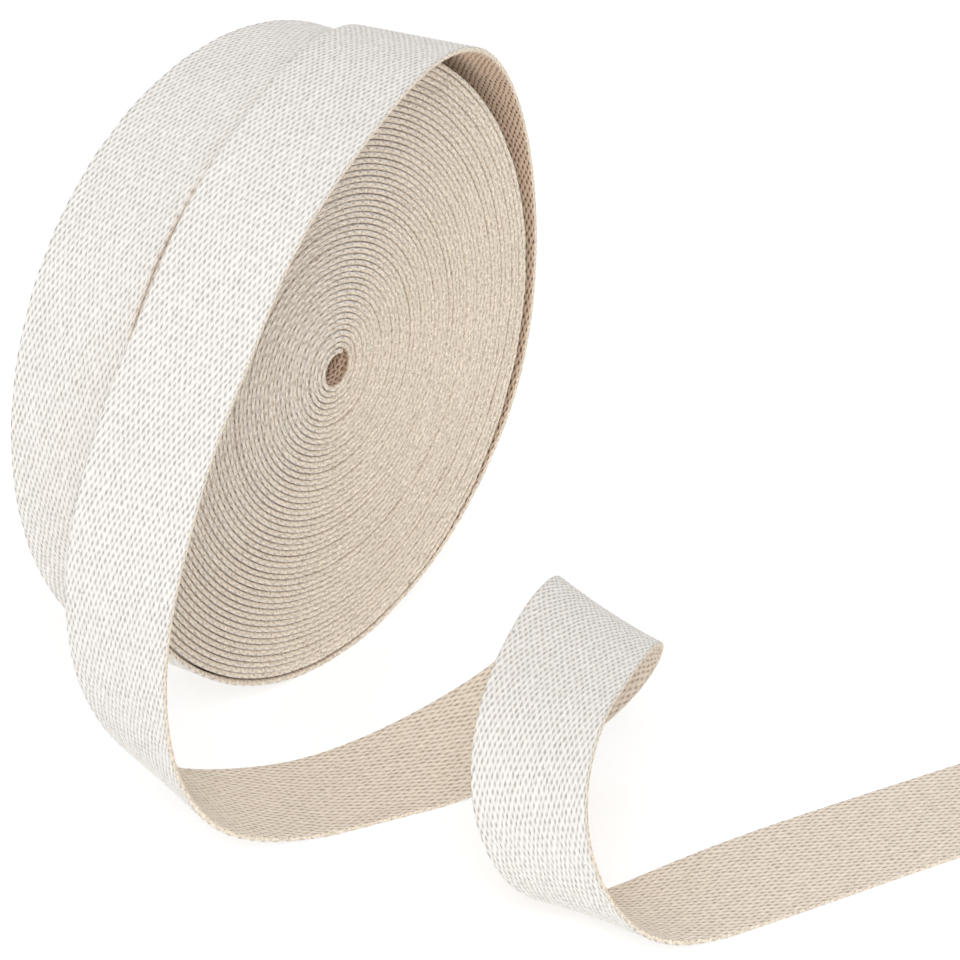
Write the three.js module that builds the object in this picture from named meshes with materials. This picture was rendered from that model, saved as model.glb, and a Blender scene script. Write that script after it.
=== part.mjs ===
// A roll of natural cotton webbing, wound without a core and standing on its rim. Its last turn has
// sprung off the roll and lies on the floor beside it in one more curl.
// Millimetres, +Z up. The roll's axis lies along Y, and its coiled face looks towards -Y.
// The origin is on the floor, under the roll's axis. Angles round the roll are in degrees from
// straight down, and grow towards +X.

import * as THREE from 'three';
import { mergeVertices } from 'three/addons/utils/BufferGeometryUtils.js';

// The webbing
const WIDTH = 38;
const THICKNESS = 1.8;
const CLEARANCE = 0.3; // between the roll and the loose end

// The roll
const ROLL_RADIUS = 96.5; // where the last turn leaves the roll
const STEP_ANGLE = 23; // the place of that step
const STEP_SPAN = 0.3; // the step's face leans back over this angle
const STEP_HEIGHT = THICKNESS + CLEARANCE;
const FLAT_DEPTH = 0.5; // how far the rim is pressed flat on the floor
const ROLL_SECTIONS = 91;

// The axis stands so high that the rim just below it is pressed in by FLAT_DEPTH.
const AXIS_HEIGHT = ROLL_RADIUS + STEP_HEIGHT * (360 - STEP_ANGLE) / 360 - FLAT_DEPTH;

// The eye in the middle of the roll, a lens that lies a little to the +X side of the axis
const EYE_SHIFT = 2.2;
const EYE_RADIUS = 4.5;
const EYE_POINTEDNESS = 0.6; // how much longer the lens is than wide, at each end
const EYE_TILT = 135; // the lens's long way
const DOME = 1.7; // how far the turns round the eye are pushed out to the front

// Groups of turns, from the eye out. reach is where a group ends, as a part of the way from the eye
// to the rim. front and back are how far its edges stand from the middle of the roll.
const TURN_GROUPS = [
  { reach: 0.16, front: 18.5, back: 19.0 },
  { reach: 0.36, front: 19.0, back: 18.6 },
  { reach: 0.55, front: 18.7, back: 19.1 },
  { reach: 0.72, front: 19.2, back: 18.8 },
  { reach: 0.84, front: 18.6, back: 19.2 },
  { reach: 0.93, front: 19.1, back: 18.7 },
  { reach: 1.0, front: 18.8, back: 19.0 },
];

// The loose end is worked out from stations along its middle line.
// turn and lean set which way the strip's width lies: turn is its swing about Z away from the -Y
// direction, towards +X, and lean is how far that side is raised, both in degrees.
// The first stations follow the roll. gap is the clear space between the roll's outline and the
// middle of the strip, and shift is the middle's place along the axis.
const ROUND_THE_ROLL = [
  { angle: 23.4, gap: 0.4, shift: 0, turn: 0, lean: 0 },
  { angle: 31, gap: 0.7, shift: 0, turn: 0, lean: 0 },
  { angle: 46, gap: 1.5, shift: 0, turn: 0, lean: 0 },
  { angle: 66, gap: 3.2, shift: 0, turn: 1, lean: 1 },
  { angle: 88, gap: 3.4, shift: 1, turn: 6, lean: 0 },
  { angle: 112, gap: 4.0, shift: -0.5, turn: 11, lean: -1 },
  { angle: 136, gap: 4.0, shift: -8, turn: 17, lean: -3 },
  { angle: 158, gap: 3.0, shift: -20, turn: 18, lean: -3 },
  { angle: 179, gap: 1.8, shift: -31.5, turn: 14, lean: -2 },
  { angle: 200, gap: 0.3, shift: -39, turn: 8, lean: -4 },
  { angle: 221, gap: -0.1, shift: -41.5, turn: 6, lean: -4 },
  { angle: 239, gap: 0.2, shift: -42.3, turn: 7, lean: -3 },
];

// The others stand clear of it: down in front of the roll, under, along the floor, up and over in
// the second curl, under again and along the floor to the cut end.
const BEYOND_THE_ROLL = [
  { x: -103, y: -42.8, z: 125, turn: 8, lean: -2 },
  { x: -116, y: -43.8, z: 102.5, turn: 8, lean: 0 },
  { x: -125, y: -45.3, z: 78, turn: 1, lean: 3 },
  { x: -126.5, y: -47, z: 53, turn: -8, lean: 4 },
  { x: -120.5, y: -49.8, z: 31, turn: -17, lean: 1 },
  { x: -107, y: -54.8, z: 13.5, turn: -22, lean: -3 },
  { x: -88, y: -62.3, z: 5, turn: -25, lean: -5 },
  { x: -68, y: -71.5, z: 2.2, turn: -25, lean: -5 },
  { x: -47, y: -81.5, z: 3.5, turn: -26, lean: -9 },
  { x: -26, y: -93, z: 9, turn: -24, lean: -17 },
  { x: -7.5, y: -105.5, z: 20, turn: -18, lean: -26 },
  { x: 0.5, y: -117.6, z: 37.3, turn: -3, lean: -32 },
  { x: -8, y: -129, z: 54.8, turn: 11, lean: -27 },
  { x: -29, y: -139, z: 65, turn: 19, lean: -14 },
  { x: -53, y: -147.8, z: 66, turn: 20, lean: -4 },
  { x: -76.5, y: -156.2, z: 60, turn: 16, lean: 10 },
  { x: -91, y: -163.8, z: 44.5, turn: 7, lean: 19 },
  { x: -91.3, y: -173, z: 21.4, turn: -6, lean: 20 },
  { x: -75, y: -181.2, z: 5.2, turn: -16, lean: 9 },
  { x: -53, y: -189, z: 1.6, turn: -19, lean: -1 },
  { x: -28.6, y: -198, z: 2.2, turn: -21, lean: -5 },
  { x: 11, y: -212, z: 2.3, turn: -21, lean: -5 },
  { x: 53, y: -228, z: 2.3, turn: -21, lean: -5 },
];
const STRIP_SECTIONS = 121;
const STRIP_SPLITS = 4; // facets across the strip, so that it can lie flat on the floor at one edge

// Radius of the wound turns' outline: one turn of a spiral, which the step closes.
function rollRadius(angle) {
  const past = THREE.MathUtils.euclideanModulo(angle - STEP_ANGLE, 360);
  return ROLL_RADIUS + STEP_HEIGHT * past / 360;
}

// A point beside the axis, at a radius and an angle round it.
function aroundAxis(radius, angle, y) {
  const a = THREE.MathUtils.degToRad(angle);
  return new THREE.Vector3(radius * Math.sin(a), y, AXIS_HEIGHT - radius * Math.cos(a));
}

// The eye's edge: a circle drawn out at two opposite ends.
function eyePoint(angle, y) {
  const along = Math.cos(THREE.MathUtils.degToRad(angle - EYE_TILT));
  const point = aroundAxis(EYE_RADIUS + EYE_POINTEDNESS * along ** 4, angle, y);
  point.x += EYE_SHIFT;
  return point;
}

// The rim: the spiral outline, pressed flat where it would dip below the floor.
function rimPoint(angle, y) {
  const point = aroundAxis(rollRadius(angle), angle, y);
  point.z = Math.max(point.z, 0);
  return point;
}

// One face of the roll at an angle: a low dome round the eye, in groups of turns with a small step
// between one group and the next.
function facePoints(angle, depth) {
  const points = [];
  let reach = 0;
  for (const group of TURN_GROUPS) {
    for (const along of [reach, group.reach]) {
      const point = eyePoint(angle, depth(group)).lerp(rimPoint(angle, depth(group)), along);
      point.y -= DOME * (1 - along);
      points.push(point);
    }
    reach = group.reach;
  }
  return points;
}

// The roll's section at an angle: out along the front face and back along the other one.
function rollSection(angle) {
  const front = facePoints(angle, (group) => -group.front);
  const back = facePoints(angle, (group) => group.back);
  return [...front, ...back.reverse()];
}

// A natural cubic spline through the rows of a table at places t, read at place s.
function naturalSpline(t, rows) {
  const last = t.length - 1;
  const step = t.slice(1).map((place, i) => place - t[i]);
  const bend = rows[0].map((_, column) => {
    const slope = step.map((h, i) => (rows[i + 1][column] - rows[i][column]) / h);
    const diagonal = [1];
    const right = [0];
    for (let i = 1; i < last; i += 1) {
      const carry = step[i - 1] / diagonal[i - 1] * (i > 1 ? 1 : 0);
      diagonal.push(2 * (step[i - 1] + step[i]) - carry * step[i - 1]);
      right.push(6 * (slope[i] - slope[i - 1]) - carry * right[i - 1]);
    }
    const result = new Array(last + 1).fill(0);
    for (let i = last - 1; i > 0; i -= 1) {
      result[i] = (right[i] - step[i] * result[i + 1]) / diagonal[i];
    }
    return result;
  });
  return (s) => {
    const past = t.findIndex((place) => place > s);
    const i = past < 0 ? last - 1 : past - 1;
    const h = step[i];
    const [u, v] = [s - t[i], t[i + 1] - s];
    return bend.map((m, column) => (m[i] * v ** 3 + m[i + 1] * u ** 3) / (6 * h)
      + (rows[i][column] / h - m[i] * h / 6) * v
      + (rows[i + 1][column] / h - m[i + 1] * h / 6) * u);
  };
}

// All stations as rows of x, y, z, turn, lean.
function stationRows() {
  const round = ROUND_THE_ROLL.map(({ angle, gap, shift, turn, lean }) => {
    const middle = aroundAxis(rollRadius(angle) + gap + THICKNESS / 2, angle, shift);
    return [middle.x, middle.y, middle.z, turn, lean];
  });
  return round.concat(BEYOND_THE_ROLL.map(({ x, y, z, turn, lean }) => [x, y, z, turn, lean]));
}

// The loose end's sections: two rows of points, above and below the middle line, across the strip.
function stripSections() {
  const rows = stationRows();
  const places = [0];
  for (let i = 1; i < rows.length; i += 1) {
    const chord = Math.hypot(...[0, 1, 2].map((k) => rows[i][k] - rows[i - 1][k]));
    places.push(places[i - 1] + chord);
  }
  const at = naturalSpline(places, rows);
  const length = places.at(-1);
  const sections = [];
  for (let i = 0; i < STRIP_SECTIONS; i += 1) {
    const s = length * i / (STRIP_SECTIONS - 1);
    const [x, y, z, turn, lean] = at(s);
    const ahead = new THREE.Vector3(...at(Math.min(s + 0.5, length)));
    const along = ahead.sub(new THREE.Vector3(...at(Math.max(s - 0.5, 0)))).normalize();
    const [t, l] = [turn, lean].map(THREE.MathUtils.degToRad);
    const across = new THREE.Vector3(Math.sin(t) * Math.cos(l), -Math.cos(t) * Math.cos(l), Math.sin(l));
    across.addScaledVector(along, -across.dot(along)).normalize();
    const outward = new THREE.Vector3().crossVectors(along, across);
    sections.push(stripSection(new THREE.Vector3(x, y, z), across, outward));
  }
  return sections;
}

// One section of the strip. Where it would dip below the floor it is raised at its full thickness.
function stripSection(middle, across, outward) {
  const outer = [];
  const inner = [];
  for (let j = 0; j <= STRIP_SPLITS; j += 1) {
    const place = middle.clone().addScaledVector(across, WIDTH * (0.5 - j / STRIP_SPLITS));
    const pair = [1, -1].map((side) => place.clone().addScaledVector(outward, side * THICKNESS / 2));
    const dip = Math.min(0, pair[0].z, pair[1].z);
    pair.forEach((point) => { point.z -= dip; });
    outer.push(pair[0]);
    inner.push(pair[1]);
  }
  return [...outer, ...inner.reverse()];
}

// A closed mesh over sections of equal length: round in a ring, or from one capped end to the other.
function meshOver(sections, ring) {
  const size = sections[0].length;
  const index = [];
  const joints = ring ? sections.length : sections.length - 1;
  for (let i = 0; i < joints; i += 1) {
    const [a, b] = [i * size, (i + 1) % sections.length * size];
    for (let j = 0; j < size; j += 1) {
      const k = (j + 1) % size;
      index.push(a + j, a + k, b + k, a + j, b + k, b + j);
    }
  }
  if (!ring) {
    const end = (sections.length - 1) * size;
    for (let j = 0; j < size / 2 - 1; j += 1) {
      const [near, far] = [size - 1 - j, size - 2 - j];
      index.push(j, near, far, j, far, j + 1);
      index.push(end + j, end + far, end + near, end + j, end + j + 1, end + far);
    }
  }
  const geometry = new THREE.BufferGeometry().setFromPoints(sections.flat());
  geometry.setIndex(index);
  return mergeVertices(geometry, 1e-4);
}

function piece(name, geometry, colour) {
  geometry.computeVertexNormals();
  const material = new THREE.MeshStandardMaterial({ color: colour, roughness: 0.9, metalness: 0 });
  const mesh = new THREE.Mesh(geometry, material);
  mesh.name = name;
  return mesh;
}

function woundRoll() {
  const sections = [];
  for (let i = 0; i < ROLL_SECTIONS; i += 1) {
    sections.push(rollSection(STEP_ANGLE + (360 - STEP_SPAN) * i / (ROLL_SECTIONS - 1)));
  }
  return piece('wound_roll', meshOver(sections, true), 0xd6c8b8);
}

function looseEnd() {
  return piece('loose_end', meshOver(stripSections(), false), 0xebe6e0);
}

const roll = new THREE.Group();
roll.add(woundRoll(), looseEnd());

export default roll;
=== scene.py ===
import bpy
import numpy as np
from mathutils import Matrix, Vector


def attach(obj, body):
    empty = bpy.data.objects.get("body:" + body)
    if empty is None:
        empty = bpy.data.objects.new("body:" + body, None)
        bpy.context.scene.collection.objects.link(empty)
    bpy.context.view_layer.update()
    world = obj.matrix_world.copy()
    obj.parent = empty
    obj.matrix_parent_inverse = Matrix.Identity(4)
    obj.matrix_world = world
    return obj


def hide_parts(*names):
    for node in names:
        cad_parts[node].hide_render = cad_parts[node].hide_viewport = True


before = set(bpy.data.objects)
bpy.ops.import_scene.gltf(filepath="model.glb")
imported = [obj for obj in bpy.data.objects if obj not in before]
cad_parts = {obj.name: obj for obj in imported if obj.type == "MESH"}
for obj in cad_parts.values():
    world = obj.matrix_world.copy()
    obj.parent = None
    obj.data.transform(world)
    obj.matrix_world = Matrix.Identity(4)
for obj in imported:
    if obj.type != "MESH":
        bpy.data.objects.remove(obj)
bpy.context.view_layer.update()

# The camera stands at the roll's left, a little above it, and looks at the coiled face through a
# long lens. AIM is the point that it looks at; all lengths here are in metres.
AZIMUTH, ELEVATION = np.radians(-52.22), np.radians(26.92)
DISTANCE = 1.5465
FOCAL_MM, SENSOR_MM = 194.2, 36.0
ROLL_MIDDLE = np.array([0.0, 0.0, 0.0989])
AIM_RIGHT, AIM_DOWN = 0.06005, 0.03885  # from the roll's middle, as the camera sees it
RIGHT = np.array([np.cos(AZIMUTH), np.sin(AZIMUTH), 0.0])
LEVEL_BACK = np.array([np.sin(AZIMUTH), -np.cos(AZIMUTH), 0.0])
BACK = LEVEL_BACK * np.cos(ELEVATION) + np.array([0.0, 0.0, np.sin(ELEVATION)])
AIM = ROLL_MIDDLE + AIM_RIGHT * RIGHT - AIM_DOWN * np.cross(BACK, RIGHT)

camera = bpy.data.objects.new("camera", bpy.data.cameras.new("camera"))
bpy.context.scene.collection.objects.link(camera)
camera.location = AIM + DISTANCE * BACK
camera.rotation_euler = (np.pi / 2 - ELEVATION, 0.0, AZIMUTH)
camera.data.lens, camera.data.sensor_width = FOCAL_MM, SENSOR_MM
camera.data.clip_start, camera.data.clip_end = 0.1, 20.0
bpy.context.scene.camera = camera


# The webbing: one length of unbleached cotton, woven flat with its warp ends packed side by side, so
# that each end shows as a row of short floats that stand half a step from its neighbours' floats.

# The wound turns and the loose end share its finish. It reads the UV map "weave", whose U counts
# picks along the length and whose V counts ends round the section: 0 is the middle of the outer
# side, 23.5 the middle of the front edge and 47 the middle of the inner side.
WIDTH, THICKNESS = 38.0, 1.8  # mm, as all sizes from here to the floor
ENDS = 45  # across one side
END_PITCH = WIDTH / ENDS
PICK_PITCH = 2.08
ROUND_SECTION = 94  # ends once round the section: two sides and two edges
FRONT_EDGE = ROUND_SECTION / 4
RELIEF = 0.26  # how far a float stands over its neighbours' dips
# The colours for dips, for places between turns and for grooves are painted shade
COLOUR = {
    "outer side": (0.93, 0.895, 0.85, 1.0),
    "outer dip shade": (0.43, 0.385, 0.34, 1.0),
    "inner side": (0.90, 0.80, 0.68, 1.0),
    "inner dip shade": (0.38, 0.27, 0.18, 1.0),
    "edge": (0.82, 0.718, 0.58, 1.0),
    "painted shade side": (0.76, 0.54, 0.38, 1.0),
    "painted shade dip": (0.15, 0.085, 0.04, 1.0),
    "groove_shade": (0.30, 0.19, 0.12, 1.0),
    "seed speck": (0.23, 0.16, 0.10, 1.0),
}


class Field:
    """A socket as a value: operators and methods add nodes to its tree; node() adds any kind."""

    def __init__(self, tree, socket=None):
        self.tree, self.socket = tree, socket

    def node(self, kind, settings=(), inputs=(), output=0):
        """Adds a node, sets its settings, then each input to a value or a Field, and gives an output."""
        new = self.tree.nodes.new(kind)
        for name, value in dict(settings).items():
            setattr(new, name, value)
        for key, value in dict(inputs).items():
            if isinstance(value, Field):
                self.tree.links.new(value.socket, new.inputs[key])
            else:
                new.inputs[key].default_value = value
        return Field(self.tree, new.outputs[output])

    def maths(self, operation, *others):
        """A Math node on this number and the others."""
        return self.node("ShaderNodeMath", {"operation": operation}, enumerate((self, *others)))

    def vector_maths(self, operation, *others):
        """A Vector Math node on this vector and the others."""
        return self.node("ShaderNodeVectorMath", {"operation": operation}, enumerate((self, *others)))

    def axis(self, index):
        """One component of this vector, as a number."""
        return self.node("ShaderNodeSeparateXYZ", (), {0: self}, index)

    def __add__(self, other):
        return self.maths("ADD", other)

    def __mul__(self, other):
        return self.maths("MULTIPLY", other)

    def __sub__(self, other):
        return self.maths("SUBTRACT", other)

    def __rsub__(self, other):
        return self.node("ShaderNodeMath", {"operation": "SUBTRACT"}, {0: other, 1: self})

    def __pow__(self, power):
        return self.maths("POWER", power)

    __radd__, __rmul__ = __add__, __mul__

    def ramp(self, start, end):
        """0 up to start, 1 from end on, smooth between. start may lie above end."""
        limits = {"Value": self, "From Min": start, "From Max": end}
        return self.node("ShaderNodeMapRange", {"interpolation_type": "SMOOTHSTEP"}, limits)

    def mix(self, low, high):
        """low where this is 0, high where it is 1; both are colours."""
        return self.node("ShaderNodeMix", {"data_type": "RGBA"}, {0: self, 6: low, 7: high}, 2)

    def noise(self, scale, detail=2.0, flat=False, roughness=0.5, output=0):
        """Soft noise at this vector, on its first two components alone where flat."""
        settings = {"noise_dimensions": "2D" if flat else "3D"}
        inputs = {"Vector": self, "Scale": scale, "Detail": detail, "Roughness": roughness}
        return self.node("ShaderNodeTexNoise", settings, inputs, output)


def floats_and_slits(ends, picks):
    """The height from 0 to 1 of the floats whose middles lie at even ends and even picks, and how
    much painted shade, from 0 to 1, the slits get that lie half a step from them, at odd ends and even
    picks.

    A float is one minus the square of the way across, times one minus the square of the way along,
    each measured from its middle. A slit is an ellipse along the yarns that leans with their twist:
    one minus the squares of both ways, each as a part of the slit's own half-size.
    """
    along = picks.maths("WRAP", 1.0, -1.0)
    across = ends.maths("WRAP", 1.0, -1.0)
    height = (1.0 - (across * 0.95) ** 2.0) * (1.0 - (along * 0.95) ** 2.0)
    beside = (ends + 1.0).maths("WRAP", 1.0, -1.0) + along * 0.3
    slit = (1.0 - (beside * 2.1) ** 2.0 - (along * 1.45) ** 2.0).maths("MAXIMUM", 0.0)
    return height, slit


def weave_marks(weave):
    """Floats, slits and a number for each float, with the whole weave moved a little here and there.

    The floats lie at even ends and picks and again at odd ones. Noise moves them by up to about a
    third of an end or a pick, so that they aren't in perfect rows.
    """
    loose = weave.noise(0.33, flat=True, output="Color").vector_maths("SUBTRACT", (0.5, 0.5, 0.0))
    moved = loose.vector_maths("MULTIPLY_ADD", (0.9, 1.2, 0.0), weave)
    picks, ends = moved.axis(0), moved.axis(1)
    height_even, slit_even = floats_and_slits(ends, picks)
    height_odd, slit_odd = floats_and_slits(ends - 1.0, picks - 1.0)
    floats = height_even.maths("MAXIMUM", height_odd)
    slits = slit_even.maths("MAXIMUM", slit_odd)
    cell = moved.vector_maths("FLOOR")
    each = weave.node("ShaderNodeTexWhiteNoise", {"noise_dimensions": "2D"}, {"Vector": cell})
    return floats, slits, each


def seed_specks(weave):
    """1 in the middle of a few cells, about one in seventy, and 0 all round: specks of cotton seed."""
    cells = {"Vector": weave.vector_maths("MULTIPLY", (0.56, 0.23, 0.0)), "Scale": 1.0}
    distance = weave.node("ShaderNodeTexVoronoi", {"voronoi_dimensions": "2D"}, cells, "Distance")
    chance = weave.node("ShaderNodeTexVoronoi", {"voronoi_dimensions": "2D"}, cells, "Color")
    chance = weave.node("ShaderNodeSeparateColor", (), {0: chance}, 0)
    return chance.maths("GREATER_THAN", 0.985) * distance.ramp(0.085, 0.04)


def cotton_webbing():
    """Off-white outside, more beige inside and at the edges; painted shade in dips, grooves and between
    turns.
    """
    material = bpy.data.materials.new("cotton webbing")
    material.use_nodes = True
    tree = material.node_tree
    shader = tree.nodes["Principled BSDF"]
    shader.inputs["Roughness"].default_value = 0.92
    shader.inputs["Specular IOR Level"].default_value = 0.25
    shader.inputs["Sheen Weight"].default_value = 0.12
    shader.inputs["Sheen Roughness"].default_value = 0.6
    start = Field(tree)
    weave = start.node("ShaderNodeUVMap", {"uv_map": "weave"})
    place = start.node("ShaderNodeTexCoord", (), (), "Object")
    painted_shade = start.node("ShaderNodeAttribute", {"attribute_name": "painted_shade"}, (), "Fac")
    groove_shade = start.node("ShaderNodeAttribute", {"attribute_name": "groove_shade"}, (), "Fac")

    # Where on the section, in ends from the nearer edge's middle: below 0 outside, above 0 inside
    picks, ends = weave.axis(0), weave.axis(1)
    from_outer = ends.maths("WRAP", ROUND_SECTION / 2, -ROUND_SECTION / 2).maths("ABSOLUTE")
    past_edge = from_outer - FRONT_EDGE
    inside = past_edge.ramp(0.4, 1.4)
    edge = past_edge.ramp(-0.9, -0.1) * (1.0 - inside)

    # The weave, fibres along the yarns, and unevenness from the finest to the widest
    floats, slits, each = weave_marks(weave)
    fibre = weave.vector_maths("MULTIPLY", (1.8, 3.2, 0.0)).noise(1.0, flat=True, roughness=0.65)
    grain = place.noise(1500.0, detail=1.0)
    patchy = place.noise(420.0, detail=1.0)
    cloudy = place.noise(45.0)

    # The yarns' colour, and painted shade in the slits and dips between them
    colour = inside.mix(COLOUR["outer side"], COLOUR["inner side"])
    colour = edge.mix(colour, COLOUR["edge"])
    # Painted shade, warm and brown, between turns, in the eye and where the loose end hangs close
    colour = painted_shade.mix(colour, COLOUR["painted shade side"])
    shade = 0.84 + fibre * 0.16 + each * 0.07 + cloudy * 0.05 + (grain - 0.5) * edge * 1.1
    grey = start.node("ShaderNodeCombineColor", (), {0: shade, 1: shade, 2: shade})
    colour = start.node("ShaderNodeMix", {"data_type": "RGBA", "blend_type": "MULTIPLY"},
                        {0: 1.0, 6: colour, 7: grey}, 2)
    # Painted shade in the weave's slits and in the low ground between floats, more of it between turns
    slits = slits * (0.10 + patchy * 0.82) * (1.0 - edge * 0.8)
    slits = slits + floats.ramp(0.65, 0.2) * (0.10 + painted_shade * 0.65)
    dip_shade_colour = past_edge.ramp(-1.5, -0.5).mix(COLOUR["outer dip shade"], COLOUR["inner dip shade"])
    dip_shade_colour = painted_shade.mix(dip_shade_colour, COLOUR["painted shade dip"])
    colour = slits.maths("MINIMUM", 0.95).mix(colour, dip_shade_colour)

    # Painted shade in the grooves beside the next turns, at both corners of the edge and darkest once a
    # pick
    inner_corner = past_edge.ramp(0.5, 0.95) * past_edge.ramp(2.9, 1.5)
    outer_corner = past_edge.ramp(-0.7, -0.9) * past_edge.ramp(-2.1, -1.2)
    dash = (picks * (2.0 * np.pi)).maths("COSINE").ramp(-0.6, 0.5)
    dark = groove_shade * (inner_corner + outer_corner * 0.55) * (0.55 + dash * 0.45)
    colour = dark.mix(colour, COLOUR["groove_shade"])
    colour = (seed_specks(weave) * 0.6).mix(colour, COLOUR["seed speck"])
    tree.links.new(colour.socket, shader.inputs["Base Color"])

    # Relief, in metres once multiplied by the bump's distance
    height = floats - slits * 0.6 + fibre * 0.3 + each * 0.2
    bump = start.node("ShaderNodeBump", (), {"Strength": 1.0, "Distance": 0.0004, "Height": height})
    tree.links.new(bump.socket, shader.inputs["Normal"])
    return material


webbing = cotton_webbing()
CREASE_ANGLE = 62  # degrees between two faces past which they are shaded apart


def strip_piece(name, rings, picks, ends, painted_shade, groove_shade=0.0):
    """One closed piece of webbing from its sections, in mm.

    rings[i, j] is point j of section i. Each section is joined to the next by four-sided faces,
    and one flat face closes each end. picks has a value for each section and ends one for each
    point and one more for the way back to the first, and they make the UV map "weave". deep is
    how much painted shade each point gets for lying between turns, and groove how much painted
    shade falls in the grooves there, from 0 to 1.
    """
    sections, size = rings.shape[:2]
    i, j = np.meshgrid(np.arange(sections - 1), np.arange(size), indexing="ij")
    right = (j + 1) % size
    quads = np.stack([i * size + j, (i + 1) * size + j, (i + 1) * size + right, i * size + right], -1)
    last = (sections - 1) * size
    caps = [list(range(size)), list(range(last, last + size))[::-1]]
    mesh = bpy.data.meshes.new(name)
    mesh.from_pydata(rings.reshape(-1, 3) * 0.001, [], quads.reshape(-1, 4).tolist() + caps)
    u = np.stack([picks[i], picks[i + 1], picks[i + 1], picks[i]], -1)
    v = np.stack([ends[j], ends[j], ends[j + 1], ends[j + 1]], -1)
    cap_u = np.repeat([picks[0], picks[-1]], size)
    cap_v = np.concatenate([ends[:size], ends[:size][::-1]])
    u, v = np.append(u, cap_u), np.append(v, cap_v)
    uv_map = mesh.uv_layers.new(name="weave")
    uv_map.data.foreach_set("uv", np.stack([u, v], -1).astype(np.float32).ravel())
    for key, values in (("painted_shade", painted_shade), ("groove_shade", groove_shade)):
        values = values * np.ones((sections, size))
        attribute = mesh.attributes.new(key, "FLOAT", "POINT")
        attribute.data.foreach_set("value", values.astype(np.float32).ravel())
    mesh.polygons.foreach_set("use_smooth", np.ones(len(mesh.polygons), bool))
    mesh.set_sharp_from_angle(angle=np.radians(CREASE_ANGLE))
    mesh.materials.append(webbing)
    piece = bpy.data.objects.new(name, mesh)
    bpy.context.scene.collection.objects.link(piece)
    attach(piece, "root")
    return piece


# The wound turns: the same webbing rolled up tightly without a core, some 50 times round a small eye.
# The turns are pushed out towards -Y in the middle, and groups of them stand a little proud of the
# next. Nothing fixes them but their own grip.

# They fill the CAD solid "wound_roll", whose outline is one turn of a spiral with its step at
# 23 degrees. Angles round the roll are from straight down, towards +X; the loose end leaves there.
TURNS = 50.65
ROLL_RADIUS, STEP_ANGLE, STEP_HEIGHT, FLAT_DEPTH = 96.5, 23.0, 2.1, 0.5
AXIS_HEIGHT = ROLL_RADIUS + STEP_HEIGHT * (360 - STEP_ANGLE) / 360 - FLAT_DEPTH
EYE_RADIUS = 4.1
EYE_SHIFT = 2.2  # the eye lies to the +X side of the axis
EYE_SQUEEZE, SQUEEZE_FADES, EYE_TILT = 0.07, 9.0, 135.0  # how oval, over how many mm, which way
DOME = 1.7  # how far the middle turns are pushed out
TURN_GAP = 0.09  # between one turn and the next
SLIT, SLIT_TURNS = 0.4, 0.3  # more space under the outermost turn, near the step
# Groups of turns: after how many turns from the rim, and how far they stand proud
GROUPS = np.array([
    # turn, proud
    (0.0, 0.05), (1.2, 0.05), (2.2, 0.38), (2.45, 0.0), (4.2, 0.30), (4.45, -0.05), (7.2, 0.28),
    (7.45, 0.0), (10.2, 0.28), (10.45, -0.1), (13.2, 0.10), (13.4, -0.05), (17.2, 0.25),
    (17.45, -0.05), (21.2, 0.15), (21.4, 0.0), (26.2, 0.25), (26.4, -0.05), (31.2, 0.15),
    (31.4, 0.0), (37.2, 0.2), (37.4, 0.0), (43.2, 0.2), (43.4, 0.0), (51.0, 0.1)])
# Waves that move the turns out and back: their speed in radians a turn and a step, and their size
WAVES = np.array([
    # a turn, a step, size
    (2.39, 0.0, 0.11), (7.93, 0.0, 0.09), (0.0, 0.05, 0.08), (0.0, 0.31, 0.07), (0.0, 0.47, 0.05)])


def winding(turns_in):
    """Angle, outer radius and shifts in +X and -Y of the winding at so many turns from its end.

    The angle goes back from the step. The radius falls by the step's height over the first turn
    and evenly to the eye over the others. The shifts grow evenly from the rim to the eye. Near the
    eye the radius is also multiplied by one plus a cosine of twice the angle, which makes it oval.
    """
    angle = np.radians(STEP_ANGLE) - 2 * np.pi * turns_in
    pitch = (ROLL_RADIUS - EYE_RADIUS - THICKNESS) / (TURNS - 1)
    radius = ROLL_RADIUS + STEP_HEIGHT * (1.0 - turns_in.clip(0.0, 1.0))
    radius -= pitch * np.maximum(turns_in - 1.0, 0.0)
    near_step = np.clip(1.0 + SLIT_TURNS - turns_in, 0.0, SLIT_TURNS) / SLIT_TURNS
    radius -= np.where(turns_in > 1.0, SLIT * near_step, 0.0)
    inward = 1.0 - radius / ROLL_RADIUS
    squeeze = EYE_SQUEEZE * np.exp(-(radius - EYE_RADIUS) / SQUEEZE_FADES)
    radius *= 1.0 + squeeze * np.cos(2.0 * (angle - np.radians(EYE_TILT)))
    return angle, radius, EYE_SHIFT * inward, DOME * inward


def wound_length():
    """The winding's sections, two to a pick: how many turns in each lies, the last at the rim's end."""
    fine = np.linspace(TURNS, 0.0, 60000)
    radius = winding(fine)[1] - THICKNESS / 2
    length = np.append(0.0, np.cumsum(2 * np.pi * radius[1:] * -np.diff(fine)))
    count = int(2 * length[-1] / PICK_PITCH) + 1
    return np.interp(np.linspace(0.0, length[-1], count), length, fine)


turn_of_step = wound_length()


def turn_rings(steps, across, inward):
    """Sections of the winding at these steps, each half a pick long.

    across is each point's place along the axis, and inward its depth under the turn's outer side as
    a part of the thickness. A point lies at the winding's angle and its radius less that depth, and
    its section is moved out by its group's height plus a sum of sines.
    """
    turns_in = turn_of_step[steps]
    angle, radius, shift, dome = (values[:, None] for values in winding(turns_in))
    proud = np.interp(turns_in, *GROUPS.T)
    proud += sum(size * np.sin(a_turn * turns_in + a_step * steps) for a_turn, a_step, size in WAVES)
    r = radius - (THICKNESS - TURN_GAP) * inward
    z = np.maximum(AXIS_HEIGHT - r * np.cos(angle), 0.0)
    return np.stack([shift + r * np.sin(angle), across - dome - proud[:, None], z], -1)
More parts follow.
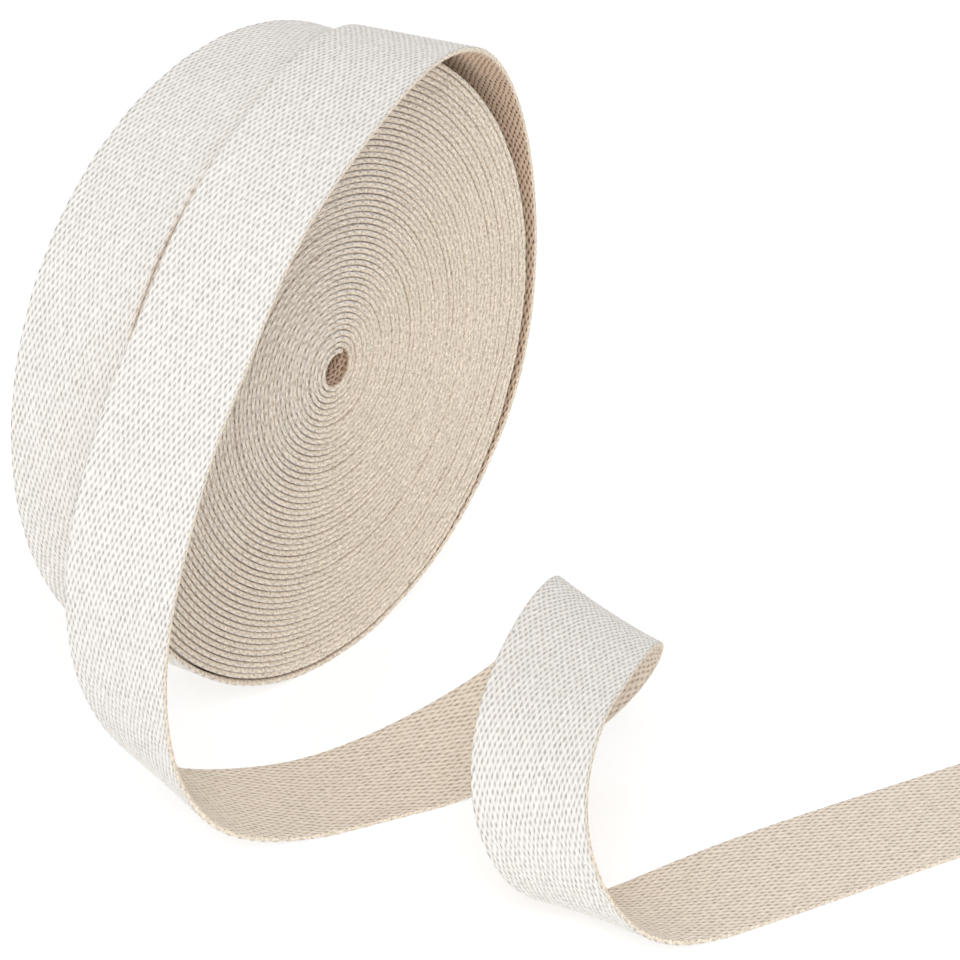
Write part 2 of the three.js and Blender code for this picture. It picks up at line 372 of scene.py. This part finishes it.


# The edge of a wound turn as five points: ends round the section, depth under the outer side as a
# part of the thickness, how far in from the strip's side at picks and between them, and how much
# painted shade the point gets for lying between turns
EDGE = np.array([
    # ends, inward, at pick, between, painted shade
    (22.5, 0.00, 0.42, 0.32, 0.10),
    (22.9, 0.20, 0.10, 0.05, 0.02),
    (23.5, 0.50, 0.04, 0.07, 0.00),
    (24.1, 0.80, 0.32, 0.18, 0.05),
    (24.6, 1.00, 1.15, 0.75, 0.45),
])
EDGE_ENDS = np.append(EDGE[:, 0], ROUND_SECTION - EDGE[::-1, 0])
EDGE_INWARD = np.append(EDGE[:, 1], EDGE[::-1, 1])
EDGE_PAINTED_SHADE = np.append(EDGE[:, 4], EDGE[::-1, 4])
# The edge's painted shade is weaker between turns and stronger in the eye
SHADE_BETWEEN_TURNS, SHADE_IN_EYE = 0.5, 1.8  # the edge's deep is multiplied by one of these


def edge_across(steps, grooves):
    """Where the edges' points lie along the axis: the front edge's, then the back edge's, mirrored.

    Points at picks and between them lie at their own depths in from the side, and the difference is
    greater where the grooves are more marked.
    """
    at_pick, between = EDGE[:, 2], EDGE[:, 3]
    scallop = np.where(steps[:, None] % 2 == 0, at_pick - between, 0.0)
    inset = between + scallop * (0.3 + 0.9 * grooves[:, None])
    return np.hstack([inset - WIDTH / 2, WIDTH / 2 - inset[:, ::-1]])


def groove_strength(steps):
    """How marked the grooves are, from 0.1 to 1, in their shape and in their painted shade: three sines
    let them come and go along the winding.
    """
    turns_in = turn_of_step[steps]
    comes_and_goes = 0.25 * np.sin(0.043 * steps + 1.0) * np.sin(5.1 * turns_in)
    return 0.55 + comes_and_goes + 0.2 * np.sin(2.17 * turns_in)


def wound_turns(name, first, last):
    """A stretch of the winding with both its edges, from so many turns in from the rim to so many."""
    steps = np.flatnonzero((turn_of_step <= first) & (turn_of_step > last))
    steps = np.append(steps, min(steps[-1] + 1, len(turn_of_step) - 1))
    grooves = groove_strength(steps)
    rings = turn_rings(steps, edge_across(steps, grooves), EDGE_INWARD)
    in_the_eye = turn_of_step[steps, None] > TURNS - 1.1
    painted_shade = EDGE_PAINTED_SHADE * np.where(in_the_eye, SHADE_IN_EYE, SHADE_BETWEEN_TURNS)
    ends = np.append(EDGE_ENDS, ROUND_SECTION + EDGE_ENDS[0])
    return strip_piece(name, rings, steps / 2, ends, painted_shade, grooves[:, None])


SPLIT_TURN = 17.0  # where the mesh of the inner turns ends and that of the outer ones begins
core_turns = wound_turns("core_turns", TURNS, SPLIT_TURN)
outer_turns = wound_turns("outer_turns", SPLIT_TURN, 1.0)
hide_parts("wound_roll")
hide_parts("wound_roll")


# The outermost turn: the last one that still lies on the roll, so its whole outer side shows. Every
# float of the weave on that side is raised from the mesh. It follows the outline of the CAD solid
# "wound_roll" up to the step, where the loose end carries on from it.
SIDE = np.arange(-22.0, 23.0)  # the ends across one side, from its middle
LIFT = 0.08  # the floats' tops stand this far over the solid's outline


def float_dips(ends, steps):
    """How far the cloth dips under the floats' tops: half a cosine wave across ends and picks."""
    return RELIEF * (0.5 - 0.5 * np.cos(np.pi * (ends + steps[:, None] / 2)))


steps = np.flatnonzero(turn_of_step <= 1.0)
steps = np.append(steps[0] - 1, steps)
ends = np.concatenate([SIDE, EDGE_ENDS, [ROUND_SECTION + SIDE[0]]])
dips = float_dips(SIDE, steps) - LIFT
inward = np.hstack([dips / THICKNESS, EDGE_INWARD * np.ones_like(steps)[:, None]])
grooves = groove_strength(steps)
across = np.hstack([-SIDE * END_PITCH + 0.0 * dips, edge_across(steps, grooves)])
# Painted shade on the edge between turns, and in the grooves beside the next turn
painted_shade = np.append(0.0 * SIDE, EDGE_PAINTED_SHADE)
beside_turn = np.append(0.0 * SIDE, EDGE_INWARD > 0.5)
rings = turn_rings(steps, across, inward)
outermost_turn = strip_piece("outermost_turn", rings, steps / 2, ends, painted_shade, grooves[:, None] * beside_turn)
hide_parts("wound_roll")


# The loose end: the same length of webbing where it has sprung off the roll. It hangs round the roll
# a little away from it, comes down in front, lies on the floor and makes one more curl, and ends in
# a plain cut. It is a single sheet, woven on both sides and free but for its root at the roll.
ROUND_THE_ROLL = np.array([
    # angle, gap to the roll's outline, place along the axis, turn, lean
    (23.05, 0.4, 0.0, 0, 0), (31, 0.7, 0.0, 0, 0), (46, 1.5, 0.0, 0, 0), (66, 3.2, 0.0, 1, 1),
    (88, 3.4, 1.0, 6, 0), (112, 4.0, -0.5, 11, -1), (136, 4.0, -8.0, 17, -3),
    (158, 3.0, -20.0, 18, -3), (179, 1.8, -31.5, 14, -2), (200, 0.3, -39.0, 8, -4),
    (221, -0.1, -41.5, 6, -4), (239, 0.2, -42.3, 7, -3)])
BEYOND_THE_ROLL = np.array([
    # x, y, z, turn, lean
    (-103, -42.8, 125, 8, -2), (-116, -43.8, 102.5, 8, 0), (-125, -45.3, 78, 1, 3),
    (-126.5, -47, 53, -8, 4), (-120.5, -49.8, 31, -17, 1), (-107, -54.8, 13.5, -22, -3),
    (-88, -62.3, 5, -25, -5), (-68, -71.5, 2.2, -25, -5), (-47, -81.5, 3.5, -26, -9),
    (-26, -93, 9, -24, -17), (-7.5, -105.5, 20, -18, -26), (0.5, -117.6, 37.3, -3, -32),
    (-8, -129, 54.8, 11, -27), (-29, -139, 65, 19, -14), (-53, -147.8, 66, 20, -4),
    (-76.5, -156.2, 60, 16, 10), (-91, -163.8, 44.5, 7, 19), (-91.3, -173, 21.4, -6, 20),
    (-75, -181.2, 5.2, -16, 9), (-53, -189, 1.6, -19, -1), (-28.6, -198, 2.2, -21, -5),
    (11, -212, 2.3, -21, -5), (53, -228, 2.3, -21, -5)])


def spline_stations():
    """The loose end's stations as rows of x, y, z, turn, lean, those round the roll worked out first.

    Their radius is that of the roll's spiral outline at their angle, plus the gap and half the
    thickness.
    """
    angle, gap, shift, turn, lean = ROUND_THE_ROLL.T
    past = (angle - STEP_ANGLE) / 360
    radius = ROLL_RADIUS + STEP_HEIGHT * past + gap + THICKNESS / 2
    angle = np.radians(angle)
    x, z = radius * np.sin(angle), AXIS_HEIGHT - radius * np.cos(angle)
    return np.vstack([np.stack([x, shift, z, turn, lean], -1), BEYOND_THE_ROLL])


def natural_spline(t, rows):
    """A natural cubic spline through rows at places t, as a function of place.

    Each stretch is a cubic whose second derivatives at its ends make the slopes meet; they are zero
    at both ends of the whole spline and come from one set of linear equations.
    """
    h = np.diff(t)
    slope = np.diff(rows, axis=0) / h[:, None]
    system = np.diag(2.0 * (h[:-1] + h[1:])) + np.diag(h[1:-1], 1) + np.diag(h[1:-1], -1)
    bend = np.zeros_like(rows)
    bend[1:-1] = np.linalg.solve(system, 6.0 * np.diff(slope, axis=0))

    def read(s):
        i = np.clip(np.searchsorted(t, s, side="right") - 1, 0, len(h) - 1)
        step, u, v = h[i][:, None], (s - t[i])[:, None], (t[i + 1] - s)[:, None]
        return ((bend[i] * v ** 3 + bend[i + 1] * u ** 3) / (6.0 * step)
                + (rows[i] / step - bend[i] * step / 6.0) * v
                + (rows[i + 1] / step - bend[i + 1] * step / 6.0) * u)
    return read


def unit(vectors):
    """The vectors, each divided by its length."""
    return vectors / np.linalg.norm(vectors, axis=-1, keepdims=True)


# The strip's line and its three directions at each section. turn swings the way across the strip
# round the vertical, from along the roll's axis, and lean tips it up.
stations = spline_stations()
places = np.append(0.0, np.cumsum(np.linalg.norm(np.diff(stations[:, :3], axis=0), axis=1)))
strip_at = natural_spline(places, stations)
strip_length = places[-1]
count = int(2 * strip_length / PICK_PITCH) + 1
steps = np.arange(count) + len(turn_of_step)
place = np.linspace(0.0, strip_length, count)
middle = strip_at(place)
turned, leaned = np.radians(middle[:, 3]), np.radians(middle[:, 4])
middle = middle[:, None, :3]
ahead, behind = np.minimum(place + 0.5, strip_length), np.maximum(place - 0.5, 0.0)
along = unit(strip_at(ahead)[:, :3] - strip_at(behind)[:, :3])
across = np.stack([np.sin(turned) * np.cos(leaned), -np.cos(turned) * np.cos(leaned), np.sin(leaned)], -1)
across = unit(across - along * (across * along).sum(-1, keepdims=True))
outward = np.cross(along, across)

# Round the section: the outer side, the front edge, the inner side and the back edge. side is each
# point's place across the strip and level its place through the thickness, from -1 to 1.
ROUND_ENDS = np.array([23.0, 23.5, 24.0])
ROUND_LEVEL = np.array([0.62, 0.0, -0.62])
ROUND_ACROSS = np.array([22.45, 22.5, 22.45])  # in ends from the middle
LOOP = 0.12  # how far the edge draws in between picks
ends = np.concatenate([SIDE, ROUND_ENDS, 47.0 + SIDE, 47.0 + ROUND_ENDS, [ROUND_SECTION + SIDE[0]]])
side = np.concatenate([SIDE, ROUND_ACROSS, -SIDE, -ROUND_ACROSS]) * END_PITCH
level = np.concatenate([SIDE * 0 + 1.0, ROUND_LEVEL, SIDE * 0 - 1.0, -ROUND_LEVEL])
parity = np.concatenate([SIDE, 0 * ROUND_ENDS, SIDE + 1, 0 * ROUND_ENDS])
woven = np.abs(level) == 1.0
dips = np.where(woven, float_dips(parity, steps), 0.0)
height = level * (THICKNESS / 2 + LIFT - dips)
loops = np.where(woven, 0.0, -LOOP * np.sign(side) * (steps[:, None] % 2))
rings = middle + across[:, None] * (side + loops)[..., None] + outward[:, None] * height[..., None]

# Where the strip would dip below the floor it is raised at its full thickness.
full = np.abs(outward[:, None]) * THICKNESS / 2
lowest = (middle + across[:, None] * side[:, None] - full)[..., 2]
rings[..., 2] = np.maximum(rings[..., 2] - np.minimum(0.0, lowest), 0.0)

# Painted shade, warm and brown, on the inner side where the strip still hangs close round the roll.
SHADE_NEAR_ROLL = np.array([
    # place along the strip, painted shade
    (0.0, 0.9), (250.0, 0.8), (330.0, 0.6), (420.0, 0.0)])
painted_shade = np.interp(place, *SHADE_NEAR_ROLL.T)[:, None] * (level == -1.0)
loose_end = strip_piece("loose_strip", rings, steps / 2, ends, painted_shade)
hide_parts("loose_end")


# The floor: a plain pale sweep, a touch below the part so that the two don't share a plane. It
# glows a little, which keeps it even and bright all over. Lengths are in metres from here on.
FLOOR_SIZE, FLOOR_DROP = 6.0, 0.0002
corners = [(x * FLOOR_SIZE, y * FLOOR_SIZE, -FLOOR_DROP) for x, y in ((-1, -1), (1, -1), (1, 1), (-1, 1))]
floor_mesh = bpy.data.meshes.new("floor")
floor_mesh.from_pydata(corners, [], [(0, 1, 2, 3)])
floor = bpy.data.objects.new("floor", floor_mesh)
bpy.context.scene.collection.objects.link(floor)
floor_finish = bpy.data.materials.new("pale floor")
floor_finish.use_nodes = True
floor_shader = floor_finish.node_tree.nodes["Principled BSDF"]
floor_shader.inputs["Base Color"].default_value = (0.62, 0.62, 0.62, 1.0)
floor_shader.inputs["Roughness"].default_value = 0.9
floor_shader.inputs["Emission Color"].default_value = (1.0, 1.0, 1.0, 1.0)
floor_shader.inputs["Emission Strength"].default_value = 0.5
floor_mesh.materials.append(floor_finish)


# The light: an even white surround, as in a light tent, and one broad round lamp at the camera's
# left, high up, aimed at the roll's middle.
SURROUND_STRENGTH = 0.78
LAMP_PLACE, LAMP_SIZE, LAMP_ENERGY = (-1.15, -0.85, 1.25), 0.9, 11.0
LAMP_AIM = Vector((0.0, 0.0, 0.1))

world = bpy.data.worlds.new("surround")
world.use_nodes = True
world.node_tree.nodes["Background"].inputs["Color"].default_value = (1.0, 1.0, 1.0, 1.0)
world.node_tree.nodes["Background"].inputs["Strength"].default_value = SURROUND_STRENGTH
bpy.context.scene.world = world

lamp = bpy.data.objects.new("lamp", bpy.data.lights.new("lamp", "AREA"))
bpy.context.scene.collection.objects.link(lamp)
lamp.data.shape = "DISK"
lamp.data.size = LAMP_SIZE
lamp.data.energy = LAMP_ENERGY
lamp.location = LAMP_PLACE
lamp.rotation_euler = (LAMP_AIM - lamp.location).to_track_quat("-Z", "Y").to_euler()

bpy.context.scene.view_settings.view_transform = "Standard"
